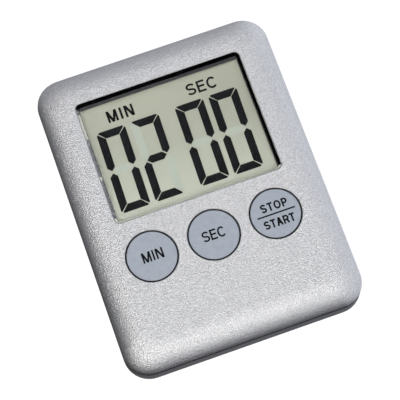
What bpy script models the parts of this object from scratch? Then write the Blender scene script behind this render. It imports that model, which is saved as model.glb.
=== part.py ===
"""A slim electronic kitchen timer with its inner works, lying on its back.

The origin is the middle of the flat back face. +X is to the right of the display, +Y is
towards the top of the display and +Z comes out of the face. Lengths are in metres.
"""

import math

import bmesh
import bpy
from mathutils import Vector

MM = 0.001

# Case: two shells that meet at a dark groove
CASE_WIDTH = 65.5 * MM
CASE_HEIGHT = 84.6 * MM
CASE_DEPTH = 12.7 * MM
CASE_CORNER = 7.0 * MM
CORNER_STEPS = 9
FLOOR = 1.3 * MM
ROOF = 1.8 * MM
WALL = 1.9 * MM

# Front shell: a flat face that rolls off to the sides
ROLL_WIDTH = 7.0 * MM
ROLL_BASE = 7.15 * MM
ROLL_STEPS = 9
FACE_CORNER = 4.5 * MM
FRONT_LOW = 6.8 * MM
FRONT_LIP = 0.7 * MM
FRONT_TUCK = 0.25 * MM

# Rear shell: rounded back edge, and a tongue that reaches inside the front shell's lip
BACK_ROUND_IN = 1.2 * MM
BACK_ROUND_UP = 1.1 * MM
BACK_ROUND_STEPS = 5
REAR_INSET = 0.03 * MM
REAR_TOP = 5.9 * MM
TONGUE_INSET = 1.2 * MM
TONGUE_TOP = 7.8 * MM
TONGUE_HEADROOM = 0.3 * MM
SHELL_EDGE = 0.15 * MM

# Window
WINDOW_Y = 14.8 * MM
LENS_WIDTH = 46.2 * MM
LENS_HEIGHT = 35.0 * MM
LENS_CORNER = 1.4 * MM
LENS_TAPER = 0.7 * MM
LENS_THICKNESS = 2.0 * MM
LENS_TOP = CASE_DEPTH - 0.1 * MM
LENS_GAP = 0.1 * MM
LENS_EDGE = 0.05 * MM
RIM_CHAMFER = 0.1 * MM
WINDOW_DEPTH = 2.8 * MM

# Keys
KEY_PITCH = 17.05 * MM
KEY_Y = -13.9 * MM
KEY_TOP = CASE_DEPTH - 0.05 * MM
KEY_RADIUS = 6.6 * MM
KEY_HOLE_RADIUS = 7.0 * MM
KEY_FLANGE_RADIUS = 7.7 * MM
KEY_FLANGE_TOP = 10.6 * MM
KEY_FLANGE_LOW = 9.9 * MM
KEY_BOSS_LOW = 9.7 * MM
KEY_BOSS_RADIUS = 3.0 * MM
KEY_EDGE = 0.15 * MM
KEY_NAMES = ("min", "sec", "start_stop")
ROUND_STEPS = 44

# Silicone keypad under the keys
PAD_WIDTH = 52.0 * MM
PAD_Y = (-20.2 * MM, -6.5 * MM)
PAD_LOW = 7.25 * MM
PAD_HIGH = 7.95 * MM
DOME_RADIUS = 5.2 * MM
DOME_TOP_RADIUS = 3.2 * MM
DOME_TOP = 9.55 * MM
DOME_ROOF = 8.55 * MM
PILL_RADIUS = 1.8 * MM
PILL_Z = (8.05 * MM, 8.4 * MM)

# Display stack, from the front
DISPLAY_WIDTH = 48.6 * MM
DISPLAY_TOP_Y = 32.9 * MM
FRONT_GLASS_LOW_Y = -5.0 * MM
REAR_GLASS_LOW_Y = -2.6 * MM
POLARISER_Z = (9.3 * MM, 9.5 * MM)
FRONT_GLASS_Z = (8.65 * MM, 9.2 * MM)
REAR_GLASS_Z = (8.0 * MM, 8.55 * MM)
REFLECTOR_Z = (7.7 * MM, 7.9 * MM)
HOLDER_WIDTH = 50.4 * MM
HOLDER_Y = (-5.9 * MM, 33.6 * MM)
HOLDER_Z = (7.3 * MM, 10.3 * MM)
HOLDER_WALL = 0.6 * MM
HOLDER_PLATE = 0.4 * MM
VIEW_X = (-22.3 * MM, 22.2 * MM)
VIEW_Y = (-1.9 * MM, 30.9 * MM)
STRIP_Y = (-4.7 * MM, -2.9 * MM)
STRIP_Z = (7.2 * MM, 8.5 * MM)

# Circuit board and what sits on its underside
BOARD_WIDTH = 60.0 * MM
BOARD_Y = (-21.5 * MM, 33.5 * MM)
BOARD_Z = (6.1 * MM, 7.1 * MM)
BOARD_CORNER = 3.0 * MM
BOARD_SCREW_X = 28.0 * MM
BOARD_SCREW_Y = (-19.5 * MM, 31.0 * MM)
BOARD_SCREW_HOLE = 1.1 * MM
BOARD_POST_RADIUS = 1.8 * MM
BOARD_PILOT_RADIUS = 1.0 * MM
PARTS_HIGH = 5.85 * MM

# Case screws and their posts
CASE_SCREW_X = 26.5 * MM
CASE_SCREW_Y = 36.5 * MM
CASE_POST_RADIUS = 2.4 * MM
CASE_PILOT_RADIUS = 1.15 * MM
CASE_POST_LOW = 3.3 * MM
POST_TOP = 11.2 * MM
PILOT_TOP = 10.2 * MM
SCREW_BOSS_RADIUS = 3.0 * MM
SCREW_BOSS_TOP = 3.0 * MM
SCREW_SEAT = 1.9 * MM
SMALL_STEPS = 16

# Button cell and its twist cap
CELL_X = -16.0 * MM
CELL_Y = -30.0 * MM
CELL_RADIUS = 5.8 * MM
CELL_Z = (1.5 * MM, 6.9 * MM)
CAP_RADIUS = 7.3 * MM
CAP_HOLE_RADIUS = 7.6 * MM
LUG_RADIUS = 8.3 * MM
LUG_SPACE_RADIUS = 8.6 * MM
WELL_RADIUS = 6.1 * MM
WELL_TOP = 6.4 * MM
LUG_WIDTH = 4.0 * MM
NOTCH_WIDTH = 4.8 * MM
CAP_TURN = math.radians(45)
ROUND_FEW = 32

# Piezo sounder
BUZZER_X = 16.0 * MM
BUZZER_Y = -29.5 * MM
BUZZER_RADIUS = 9.0 * MM
BUZZER_CERAMIC_RADIUS = 6.5 * MM
BUZZER_PLATE_Z = (2.55 * MM, 2.8 * MM)
BUZZER_CERAMIC_Z = (2.95 * MM, 3.15 * MM)
SOUND_HOLE_RADIUS = 0.7 * MM
SOUND_HOLE_RING = 3.2 * MM
WIRE_RADIUS = 0.4 * MM

# Fold-out stand
STAND_HINGE_Y = 19.8 * MM
STAND_HINGE_Z = 0.9 * MM
STAND_LENGTH = 34.6 * MM
STAND_WIDTH = 24.0 * MM
STAND_THICKNESS = 1.5 * MM
STAND_GAP = 0.35 * MM
STAND_PIN_RADIUS = 0.6 * MM
STAND_PIN_REACH = 13.2 * MM
RECESS_DEPTH = 2.0 * MM
SCOOP_RADIUS = 5.0 * MM
SCOOP_DEPTH = 1.6 * MM

# Holding magnets
MAGNET_X = 21.0 * MM
MAGNET_Y = 27.0 * MM
MAGNET_RADIUS = 5.0 * MM
MAGNET_Z = (0.1 * MM, 1.9 * MM)

PAST = 1.0 * MM  # how far a cutter runs past the face it cuts
CLEARANCE = 0.3 * MM  # between pieces that rest on each other
BORE_GAP = 0.25 * MM  # round a pin or a magnet in its hole

# Finish: colour, roughness, metallic
FINISHES = {
    "silver_paint": ((0.62, 0.63, 0.66), 0.45, 0.6),
    "grey_plastic": ((0.13, 0.13, 0.14), 0.55, 0.0),
    "key_plastic": ((0.40, 0.43, 0.49), 0.5, 0.0),
    "clear_plastic": ((0.9, 0.92, 0.92), 0.05, 0.0),
    "black_plastic": ((0.02, 0.02, 0.02), 0.5, 0.0),
    "display_film": ((0.45, 0.48, 0.40), 0.35, 0.0),
    "display_glass": ((0.75, 0.8, 0.78), 0.05, 0.0),
    "silicone": ((0.5, 0.52, 0.55), 0.6, 0.0),
    "carbon": ((0.02, 0.02, 0.02), 0.8, 0.0),
    "board": ((0.05, 0.22, 0.08), 0.45, 0.0),
    "steel": ((0.6, 0.6, 0.6), 0.3, 1.0),
    "nickel": ((0.7, 0.68, 0.64), 0.25, 1.0),
    "brass": ((0.75, 0.55, 0.2), 0.3, 1.0),
    "ceramic": ((0.8, 0.8, 0.76), 0.5, 0.0),
    "tan_ceramic": ((0.55, 0.42, 0.28), 0.5, 0.0),
    "red_wire": ((0.6, 0.03, 0.03), 0.45, 0.0),
    "black_wire": ((0.02, 0.02, 0.02), 0.45, 0.0),
}


def clear_scene():
    for obj in list(bpy.data.objects):
        bpy.data.objects.remove(obj, do_unlink=True)


def new_collection(name):
    collection = bpy.data.collections.new(name)
    bpy.context.scene.collection.children.link(collection)
    return collection


def finish(name):
    """The material of this finish, made on first use."""
    material = bpy.data.materials.get(name)
    if material:
        return material
    colour, roughness, metallic = FINISHES[name]
    material = bpy.data.materials.new(name)
    material.use_nodes = True
    shader = material.node_tree.nodes["Principled BSDF"]
    shader.inputs["Base Color"].default_value = (*colour, 1.0)
    shader.inputs["Roughness"].default_value = roughness
    shader.inputs["Metallic"].default_value = metallic
    return material


def add_object(name, data, location=(0, 0, 0), rotation=(0, 0, 0), dress=None):
    obj = bpy.data.objects.new(name, data)
    obj.location = location
    obj.rotation_euler = rotation
    parts.objects.link(obj)
    if dress:
        obj.data.materials.append(finish(dress))
    return obj


def mesh_from(name, work, smooth=True):
    """The mesh of a bmesh, shaded smooth except at its sharp edges."""
    bmesh.ops.recalc_face_normals(work, faces=work.faces)
    mesh = bpy.data.meshes.new(name)
    work.to_mesh(mesh)
    work.free()
    if smooth:
        mesh.shade_smooth()
        mesh.set_sharp_from_angle(angle=math.radians(30))
    return mesh


def rounded_rectangle(width, height, radius, centre=(0, 0)):
    """Points of a rounded rectangle, anticlockwise from its right-hand side."""
    points = []
    for quarter, (side_x, side_y) in enumerate(((1, 1), (-1, 1), (-1, -1), (1, -1))):
        for step in range(CORNER_STEPS + 1):
            angle = math.radians(90) * (quarter + step / CORNER_STEPS)
            x = centre[0] + side_x * (width / 2 - radius) + radius * math.cos(angle)
            y = centre[1] + side_y * (height / 2 - radius) + radius * math.sin(angle)
            points.append((x, y))
    return points


def ring_at(z, outline):
    return [Vector((x, y, z)) for x, y in outline]


def case_ring(z, inset, radius=None):
    """The case's outline moved in by inset, at height z."""
    if radius is None:
        radius = CASE_CORNER - inset
    return ring_at(z, rounded_rectangle(CASE_WIDTH - 2 * inset, CASE_HEIGHT - 2 * inset, radius))


def loft(name, rings, dress=None):
    """A closed body skinned through rings of matching points, lowest ring first."""
    work = bmesh.new()
    loops = [[work.verts.new(point) for point in ring] for ring in rings]
    for lower, upper in zip(loops, loops[1:]):
        for i in range(len(lower)):
            j = (i + 1) % len(lower)
            work.faces.new((lower[i], lower[j], upper[j], upper[i]))
    work.faces.new(reversed(loops[0]))
    work.faces.new(loops[-1])
    return add_object(name, mesh_from(name, work), dress=dress)


def box(name, low, high, dress=None, rotation=(0, 0, 0)):
    low, high = Vector(low), Vector(high)
    work = bmesh.new()
    bmesh.ops.create_cube(work, size=1.0)
    bmesh.ops.scale(work, vec=high - low, verts=work.verts)
    return add_object(name, mesh_from(name, work, smooth=False), (low + high) / 2, rotation, dress)


def cylinder(name, radius, low, high, at, dress=None, steps=SMALL_STEPS):
    """An upright cylinder from height low to height high."""
    work = bmesh.new()
    bmesh.ops.create_cone(
        work, cap_ends=True, segments=steps, radius1=radius, radius2=radius, depth=high - low
    )
    return add_object(name, mesh_from(name, work), (at[0], at[1], (low + high) / 2), dress=dress)


def rod(name, radius, start, end, dress=None, steps=SMALL_STEPS):
    """A cylinder between two points."""
    start, end = Vector(start), Vector(end)
    work = bmesh.new()
    bmesh.ops.create_cone(
        work, cap_ends=True, segments=steps, radius1=radius, radius2=radius,
        depth=(end - start).length,
    )
    turn = (end - start).to_track_quat("Z", "Y").to_euler()
    return add_object(name, mesh_from(name, work), (start + end) / 2, turn, dress)


def turned(name, profile, at, dress=None, steps=ROUND_STEPS):
    """A body turned about the upright axis through at, from (radius, height) points that
    start on the axis at the top and end on it at the bottom."""
    mesh = bpy.data.meshes.new(name)
    edges = [(i, i + 1) for i in range(len(profile) - 1)]
    mesh.from_pydata([(radius, 0, z) for radius, z in profile], edges, [])
    obj = add_object(name, mesh, (at[0], at[1], 0), dress=dress)
    screw = obj.modifiers.new("turn", "SCREW")
    screw.steps = screw.render_steps = steps
    screw.use_merge_vertices = True
    screw.merge_threshold = 0.00001
    screw.use_smooth_shade = True
    return obj


def plate(name, outlines, thickness, location, rotation=(0, 0, 0), dress=None):
    """A flat plate cut to the outlines, of which the inner ones are holes. Its thickness is
    centred on location."""
    curve = bpy.data.curves.new(name, "CURVE")
    curve.dimensions = "2D"
    curve.fill_mode = "BOTH"
    curve.extrude = thickness / 2
    for outline in outlines:
        spline = curve.splines.new("POLY")
        spline.points.add(len(outline) - 1)
        for point, (x, y) in zip(spline.points, outline):
            point.co = (x, y, 0, 1)
        spline.use_cyclic_u = True
    return as_mesh(add_object(name, curve, location, rotation), dress)


def as_mesh(obj, dress=None):
    """Replaces a curve object with a welded mesh object in the same place."""
    bpy.context.view_layer.update()
    graph = bpy.context.evaluated_depsgraph_get()
    mesh = bpy.data.meshes.new_from_object(obj.evaluated_get(graph), depsgraph=graph)
    place = obj.matrix_world.copy()
    name = obj.name
    bpy.data.objects.remove(obj)
    work = bmesh.new()
    work.from_mesh(mesh)
    bmesh.ops.remove_doubles(work, verts=work.verts, dist=0.000001)
    work.to_mesh(mesh)
    work.free()
    made = add_object(name, mesh, dress=dress)
    made.matrix_world = place
    return made


def combine(target, operation, tools):
    """Joins tools to the target or cuts them from it, and puts them with the cutters."""
    for tool in tools:
        modifier = target.modifiers.new(tool.name, "BOOLEAN")
        modifier.operation = operation
        modifier.solver = "EXACT"
        modifier.object = tool
        parts.objects.unlink(tool)
        cutters.objects.link(tool)
        tool.hide_render = True
        tool.display_type = "WIRE"


def join(target, *tools):
    combine(target, "UNION", tools)


def cut(target, *tools):
    combine(target, "DIFFERENCE", tools)


def four(x, y):
    """The four places that mirror (x, y), where y may be a pair of its own."""
    low, high = y if isinstance(y, tuple) else (-y, y)
    return [(-x, low), (x, low), (-x, high), (x, high)]


def key_places():
    return [(name, ((i - 1) * KEY_PITCH, KEY_Y)) for i, name in enumerate(KEY_NAMES)]


def roll_rings():
    """Rings of the front shell's quarter-ellipse roll-off, from its side up to its face."""
    rings = []
    for step in range(ROLL_STEPS + 1):
        angle = math.radians(90) * step / ROLL_STEPS
        inset = ROLL_WIDTH * (1 - math.cos(angle))
        z = ROLL_BASE + (CASE_DEPTH - ROLL_BASE) * math.sin(angle)
        radius = CASE_CORNER + (FACE_CORNER - CASE_CORNER) * inset / ROLL_WIDTH
        rings.append(case_ring(z, inset, radius))
    return rings


def cavity_rings():
    """Rings of the hollow under the front shell's face."""
    across, up = ROLL_WIDTH - WALL, 3.4 * MM
    base = CASE_DEPTH - ROOF - up
    rings = [case_ring(FRONT_LOW - PAST, WALL)]
    steps = ROLL_STEPS - 3
    for step in range(steps + 1):
        angle = math.radians(90) * step / steps
        inset = WALL + across * (1 - math.cos(angle))
        radius = CASE_CORNER - WALL - 2.0 * MM * (1 - math.cos(angle))
        rings.append(case_ring(base + up * math.sin(angle), inset, radius))
    return rings


def window_ring(z, grow):
    """The lens outline at height z, following its taper, moved out by grow."""
    inset = LENS_TAPER * (LENS_TOP - z) / LENS_THICKNESS - grow
    corner = max(LENS_CORNER - inset, 0.4 * MM)
    outline = rounded_rectangle(
        LENS_WIDTH - 2 * inset, LENS_HEIGHT - 2 * inset, corner, (0, WINDOW_Y)
    )
    return ring_at(z, outline)


def make_front_shell():
    rings = [
        case_ring(FRONT_LOW, FRONT_TUCK),
        case_ring(FRONT_LOW + SHELL_EDGE, FRONT_TUCK / 4),
    ]
    shell = loft("front_shell", rings + roll_rings(), "silver_paint")
    cut(shell, loft("front_cavity", cavity_rings()))
    rabbet = FRONT_TUCK + FRONT_LIP
    rabbet_top = TONGUE_TOP + TONGUE_HEADROOM
    rabbet_rings = [case_ring(FRONT_LOW - PAST, rabbet), case_ring(rabbet_top, rabbet)]
    cut(shell, loft("front_rabbet", rabbet_rings))
    window = [
        window_ring(CASE_DEPTH - WINDOW_DEPTH, LENS_GAP),
        window_ring(CASE_DEPTH - RIM_CHAMFER, LENS_GAP),
        window_ring(CASE_DEPTH, LENS_GAP + RIM_CHAMFER),
        window_ring(CASE_DEPTH + PAST, LENS_GAP + RIM_CHAMFER),
    ]
    cut(shell, loft("window_hole", window))
    for name, place in key_places():
        profile = [
            (0, CASE_DEPTH + PAST),
            (KEY_HOLE_RADIUS + KEY_EDGE, CASE_DEPTH + PAST),
            (KEY_HOLE_RADIUS + KEY_EDGE, CASE_DEPTH),
            (KEY_HOLE_RADIUS, CASE_DEPTH - KEY_EDGE),
            (KEY_HOLE_RADIUS, KEY_FLANGE_LOW),
            (0, KEY_FLANGE_LOW),
        ]
        cut(shell, turned(name + "_key_hole", profile, place))
    case_places = four(CASE_SCREW_X, CASE_SCREW_Y)
    board_places = four(BOARD_SCREW_X, BOARD_SCREW_Y)
    board_post_low = BOARD_Z[1] + CLEARANCE
    add_posts(shell, "case", case_places, CASE_POST_RADIUS, CASE_PILOT_RADIUS, CASE_POST_LOW)
    add_posts(shell, "board", board_places, BOARD_POST_RADIUS, BOARD_PILOT_RADIUS, board_post_low)


def add_posts(shell, name, places, radius, pilot_radius, low):
    """Screw posts that hang from the front shell's roof, each with a blind pilot hole."""
    for i, place in enumerate(places):
        join(shell, cylinder(f"{name}_post_{i}", radius, low, POST_TOP, place))
        cut(shell, cylinder(f"{name}_pilot_{i}", pilot_radius, low - PAST, PILOT_TOP, place, steps=12))


def back_rings():
    """Rings of the rear shell's outside, from the back face up to the top of its tongue."""
    rings = []
    for step in range(BACK_ROUND_STEPS + 1):
        angle = math.radians(90) * step / BACK_ROUND_STEPS
        inset = REAR_INSET + (BACK_ROUND_IN - REAR_INSET) * (1 - math.sin(angle))
        rings.append(case_ring(BACK_ROUND_UP * (1 - math.cos(angle)), inset))
    rings.append(case_ring(REAR_TOP - SHELL_EDGE, REAR_INSET))
    rings.append(case_ring(REAR_TOP, REAR_INSET + SHELL_EDGE))
    rings.append(case_ring(REAR_TOP, TONGUE_INSET))
    rings.append(case_ring(TONGUE_TOP, TONGUE_INSET))
    return rings


def make_rear_shell():
    shell = loft("rear_shell", back_rings(), "grey_plastic")
    cut(shell, loft("rear_cavity", [case_ring(FLOOR, WALL), case_ring(TONGUE_TOP + PAST, WALL)]))
    add_stand_recess(shell)
    add_cell_well(shell)
    add_buzzer_seat(shell)
    base = FLOOR / 2
    boss_radius = MAGNET_RADIUS + 1.4 * MM
    boss_top = MAGNET_Z[1] + 1.1 * MM
    pocket_radius = MAGNET_RADIUS + BORE_GAP
    pocket_top = MAGNET_Z[1] + BORE_GAP
    for i, side in enumerate((-1, 1)):
        place = (side * MAGNET_X, MAGNET_Y)
        boss = cylinder(f"magnet_boss_{i}", boss_radius, base, boss_top, place)
        pocket = cylinder(f"magnet_pocket_{i}", pocket_radius, -PAST, pocket_top, place, steps=ROUND_FEW)
        join(shell, boss)
        cut(shell, pocket)
    shank, head = 1.1 * MM, 2.1 * MM
    profile = [
        (0, SCREW_BOSS_TOP + PAST),
        (shank, SCREW_BOSS_TOP + PAST),
        (shank, SCREW_SEAT),
        (head, SCREW_SEAT),
        (head, -PAST),
        (0, -PAST),
    ]
    for i, place in enumerate(four(CASE_SCREW_X, CASE_SCREW_Y)):
        join(shell, cylinder(f"screw_boss_{i}", SCREW_BOSS_RADIUS, base, SCREW_BOSS_TOP, place))
        cut(shell, turned(f"screw_bore_{i}", profile, place, steps=SMALL_STEPS))


def add_stand_recess(shell):
    """The pan that the folded stand lies in, with the holes for its pins and a finger scoop."""
    low_y = STAND_HINGE_Y - STAND_LENGTH - STAND_GAP
    high_y = STAND_HINGE_Y + STAND_THICKNESS / 2 + STAND_GAP
    half = STAND_WIDTH / 2 + STAND_GAP
    wall, end_wall, scoop_wall, scoop_offset = 1.75 * MM, 1.2 * MM, 1.5 * MM, 0.5 * MM
    base = FLOOR / 2
    roof = RECESS_DEPTH + end_wall
    pan = box("stand_pan", (-half - wall, low_y - end_wall, base), (half + wall, high_y + wall, roof))
    scoop_side = SCOOP_RADIUS + scoop_wall
    scoop_pan = box(
        "scoop_pan",
        (-scoop_side, low_y - scoop_side, base),
        (scoop_side, low_y, SCOOP_DEPTH + 1.1 * MM),
    )
    join(shell, pan, scoop_pan)
    recess = box("stand_recess", (-half, low_y, -PAST), (half, high_y, RECESS_DEPTH))
    scoop_at = (0, low_y - scoop_offset)
    scoop = cylinder("finger_scoop", SCOOP_RADIUS, -PAST, SCOOP_DEPTH, scoop_at, steps=ROUND_FEW)
    cut(shell, recess, scoop)
    reach = STAND_PIN_REACH + CLEARANCE
    holes = rod(
        "pin_holes",
        STAND_PIN_RADIUS + BORE_GAP,
        (-reach, STAND_HINGE_Y, STAND_HINGE_Z),
        (reach, STAND_HINGE_Y, STAND_HINGE_Z),
        steps=12,
    )
    cut(shell, holes)


def add_cell_well(shell):
    """The round tower that holds the button cell, open at the back for its twist cap."""
    wall, foot_wall = 1.2 * MM, 1.0 * MM
    foot_top, lug_roof = 3.5 * MM, 2.8 * MM
    tower = [
        (0, WELL_TOP),
        (WELL_RADIUS + wall, WELL_TOP),
        (WELL_RADIUS + wall, foot_top),
        (LUG_SPACE_RADIUS + foot_wall, foot_top),
        (LUG_SPACE_RADIUS + foot_wall, FLOOR / 2),
        (0, FLOOR / 2),
    ]
    bore = [
        (0, WELL_TOP + PAST),
        (WELL_RADIUS, WELL_TOP + PAST),
        (WELL_RADIUS, lug_roof),
        (LUG_SPACE_RADIUS, lug_roof),
        (LUG_SPACE_RADIUS, FLOOR),
        (CAP_HOLE_RADIUS, FLOOR),
        (CAP_HOLE_RADIUS, -PAST),
        (0, -PAST),
    ]
    place = (CELL_X, CELL_Y)
    join(shell, turned("cell_tower", tower, place, steps=ROUND_FEW))
    cut(shell, turned("cell_bore", bore, place, steps=ROUND_FEW))
    notch = box(
        "lug_notches",
        (CELL_X - LUG_SPACE_RADIUS, CELL_Y - NOTCH_WIDTH / 2, -PAST),
        (CELL_X + LUG_SPACE_RADIUS, CELL_Y + NOTCH_WIDTH / 2, FLOOR + 0.5 * MM),
        rotation=(0, 0, -CAP_TURN),
    )
    cut(shell, notch)
    slot_half = 2.2 * MM
    slot = box(
        "contact_slot",
        (CELL_X + WELL_RADIUS - wall / 2, CELL_Y - slot_half, lug_roof + 0.1 * MM),
        (CELL_X + WELL_RADIUS + wall + PAST, CELL_Y + slot_half, WELL_TOP + PAST),
    )
    cut(shell, slot)


def add_buzzer_seat(shell):
    """The stepped ring that carries the sounder's plate, over a group of sound holes."""
    place = (BUZZER_X, BUZZER_Y)
    ring_top, seat = 3.5 * MM, 2.4 * MM
    wall, ledge = 0.9 * MM, 1.0 * MM
    outer, inner = BUZZER_RADIUS + CLEARANCE, BUZZER_RADIUS - ledge
    ring = cylinder("buzzer_ring", outer + wall, FLOOR / 2, ring_top, place, steps=ROUND_FEW)
    join(shell, ring)
    hollow = [
        (0, ring_top + PAST),
        (outer, ring_top + PAST),
        (outer, seat),
        (inner, seat),
        (inner, FLOOR),
        (0, FLOOR),
    ]
    cut(shell, turned("buzzer_hollow", hollow, place, steps=ROUND_FEW))
    holes = [place]
    for i in range(6):
        angle = math.radians(60) * i
        x = BUZZER_X + SOUND_HOLE_RING * math.cos(angle)
        y = BUZZER_Y + SOUND_HOLE_RING * math.sin(angle)
        holes.append((x, y))
    for i, hole in enumerate(holes):
        top = FLOOR + PAST / 2
        cut(shell, cylinder(f"sound_hole_{i}", SOUND_HOLE_RADIUS, -PAST, top, hole, steps=12))


def make_window_lens():
    rings = [
        window_ring(LENS_TOP - LENS_THICKNESS, 0),
        window_ring(LENS_TOP - LENS_EDGE, 0),
        window_ring(LENS_TOP, -LENS_EDGE),
    ]
    loft("window_lens", rings, "clear_plastic")


def make_keys():
    profile = [
        (0, KEY_TOP),
        (KEY_RADIUS - KEY_EDGE, KEY_TOP),
        (KEY_RADIUS, KEY_TOP - KEY_EDGE),
        (KEY_RADIUS, KEY_FLANGE_TOP),
        (KEY_FLANGE_RADIUS, KEY_FLANGE_TOP),
        (KEY_FLANGE_RADIUS, KEY_FLANGE_LOW),
        (KEY_BOSS_RADIUS, KEY_FLANGE_LOW),
        (KEY_BOSS_RADIUS, KEY_BOSS_LOW),
        (0, KEY_BOSS_LOW),
    ]
    for name, place in key_places():
        turned(name + "_key", profile, place, "key_plastic")
        cylinder(name + "_pill", PILL_RADIUS, *PILL_Z, place, "carbon", 24)


def make_keypad():
    """A silicone sheet with a hollow dome under each key, open towards the board."""
    half = PAD_WIDTH / 2
    pad = box("keypad", (-half, PAD_Y[0], PAD_LOW), (half, PAD_Y[1], PAD_HIGH), "silicone")
    button, inside_sheet = DOME_TOP - 0.6 * MM, (PAD_LOW + PAD_HIGH) / 2
    dome = [
        (0, DOME_TOP),
        (DOME_TOP_RADIUS, DOME_TOP),
        (DOME_TOP_RADIUS, button),
        (DOME_RADIUS, PAD_HIGH),
        (DOME_RADIUS, inside_sheet),
        (0, inside_sheet),
    ]
    roof_radius, mouth_radius = DOME_TOP_RADIUS - 0.7 * MM, DOME_RADIUS - 0.8 * MM
    hollow = [
        (0, DOME_ROOF),
        (roof_radius, DOME_ROOF),
        (mouth_radius, PAD_LOW),
        (mouth_radius, PAD_LOW - PAST),
        (0, PAD_LOW - PAST),
    ]
    for name, place in key_places():
        join(pad, turned(name + "_dome", dome, place, steps=ROUND_FEW))
    for name, place in key_places():
        cut(pad, turned(name + "_dome_hollow", hollow, place, steps=ROUND_FEW))


def make_display():
    half = DISPLAY_WIDTH / 2
    inner = half - CLEARANCE
    strip_half = half - 1.5 * MM
    layers = (
        ("front_polariser", inner, REAR_GLASS_LOW_Y, POLARISER_Z, "display_film"),
        ("front_glass", half, FRONT_GLASS_LOW_Y, FRONT_GLASS_Z, "display_glass"),
        ("rear_glass", half, REAR_GLASS_LOW_Y, REAR_GLASS_Z, "display_glass"),
        ("reflector", inner, REAR_GLASS_LOW_Y + CLEARANCE, REFLECTOR_Z, "display_film"),
    )
    for name, side, low_y, (low, high), dress in layers:
        box(name, (-side, low_y, low), (side, DISPLAY_TOP_Y, high), dress)
    low, high = zip((-strip_half, strip_half), STRIP_Y, STRIP_Z)
    box("contact_strip", low, high, "silicone")


def make_display_holder():
    """A box frame, open at the back, whose front plate borders the visible display."""
    half = HOLDER_WIDTH / 2
    holder = box(
        "display_holder",
        (-half, HOLDER_Y[0], HOLDER_Z[0]),
        (half, HOLDER_Y[1], HOLDER_Z[1]),
        "black_plastic",
    )
    inner = half - HOLDER_WALL
    hollow = box(
        "holder_hollow",
        (-inner, HOLDER_Y[0] + HOLDER_WALL, HOLDER_Z[0] - PAST),
        (inner, HOLDER_Y[1] - HOLDER_WALL, HOLDER_Z[1] - HOLDER_PLATE),
    )
    view = box(
        "holder_view",
        (VIEW_X[0], VIEW_Y[0], HOLDER_Z[0]),
        (VIEW_X[1], VIEW_Y[1], HOLDER_Z[1] + PAST),
    )
    cut(holder, hollow, view)


def circle(radius, at, steps):
    """Points round a circle."""
    points = []
    for i in range(steps):
        angle = 2 * math.pi * i / steps
        points.append((at[0] + radius * math.cos(angle), at[1] + radius * math.sin(angle)))
    return points


def make_circuit_board():
    middle = (BOARD_Y[0] + BOARD_Y[1]) / 2
    outline = rounded_rectangle(BOARD_WIDTH, BOARD_Y[1] - BOARD_Y[0], BOARD_CORNER, (0, middle))
    places = four(BOARD_SCREW_X, BOARD_SCREW_Y)
    holes = [circle(BOARD_SCREW_HOLE, place, SMALL_STEPS) for place in places]
    low, high = BOARD_Z
    plate("circuit_board", [outline, *holes], high - low, (0, 0, (low + high) / 2), dress="board")


def make_board_parts():
    """What is soldered to the underside of the board."""
    blob_radius, blob_height = 4.5 * MM, 1.05 * MM
    dome = [(0, PARTS_HIGH)]
    for i in range(6):
        angle = math.radians(90) * i / 6
        dome.append((blob_radius * math.cos(angle), PARTS_HIGH - blob_height * math.sin(angle)))
    dome.append((0, PARTS_HIGH - blob_height))
    turned("chip_blob", dome, (20 * MM, 4 * MM), "black_plastic", 28)

    can_x, can_z = -20 * MM, PARTS_HIGH - 1.15 * MM
    can = rod("crystal_can", 1.0 * MM, (can_x, 2 * MM, can_z), (can_x, 8 * MM, can_z), "nickel")
    for i, side in enumerate((-1, 1)):
        x = can_x + side * 0.45 * MM
        lead = rod(f"crystal_lead_{i}", 0.18 * MM, (x, 7.5 * MM, can_z), (x, 10.5 * MM, can_z), steps=8)
        join(can, lead)

    chips = (
        ("chip_capacitor_1", (-24 * MM, 10 * MM), (2.0 * MM, 1.25 * MM, 0.8 * MM), "tan_ceramic"),
        ("chip_capacitor_2", (-24 * MM, 13 * MM), (2.0 * MM, 1.25 * MM, 0.8 * MM), "tan_ceramic"),
        ("chip_resistor_1", (24 * MM, -3 * MM), (2.0 * MM, 1.25 * MM, 0.5 * MM), "black_plastic"),
        ("chip_resistor_2", (24 * MM, -6 * MM), (2.0 * MM, 1.25 * MM, 0.5 * MM), "black_plastic"),
    )
    for name, (x, y), (length, width, height), dress in chips:
        low = (x - length / 2, y - width / 2, PARTS_HIGH - height)
        box(name, low, (x + length / 2, y + width / 2, PARTS_HIGH), dress)

    flange, waist, rim = 2.3 * MM, 1.9 * MM, 0.4 * MM
    foot = PARTS_HIGH - 2.45 * MM
    spool = [
        (0, PARTS_HIGH),
        (flange, PARTS_HIGH),
        (flange, PARTS_HIGH - rim),
        (waist, PARTS_HIGH - rim),
        (waist, foot + rim),
        (flange, foot + rim),
        (flange, foot),
        (0, foot),
    ]
    turned("buzzer_coil", spool, (25 * MM, -12.5 * MM), "carbon", 24)

    x, y = 18.5 * MM, -12 * MM
    half_x, half_y = 1.45 * MM, 0.65 * MM
    body = box(
        "buzzer_transistor",
        (x - half_x, y - half_y, PARTS_HIGH - 1.0 * MM),
        (x + half_x, y + half_y, PARTS_HIGH - 0.05 * MM),
        "black_plastic",
    )
    for i, (leg_x, side) in enumerate(((-0.95, -1), (0.95, -1), (0, 1))):
        edge = sorted((y + side * 0.5 * MM, y + side * 1.2 * MM))
        leg = box(
            f"transistor_leg_{i}",
            (x + (leg_x - 0.2) * MM, edge[0], PARTS_HIGH - 0.35 * MM),
            (x + (leg_x + 0.2) * MM, edge[1], PARTS_HIGH - 0.15 * MM),
        )
        join(body, leg)


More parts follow.
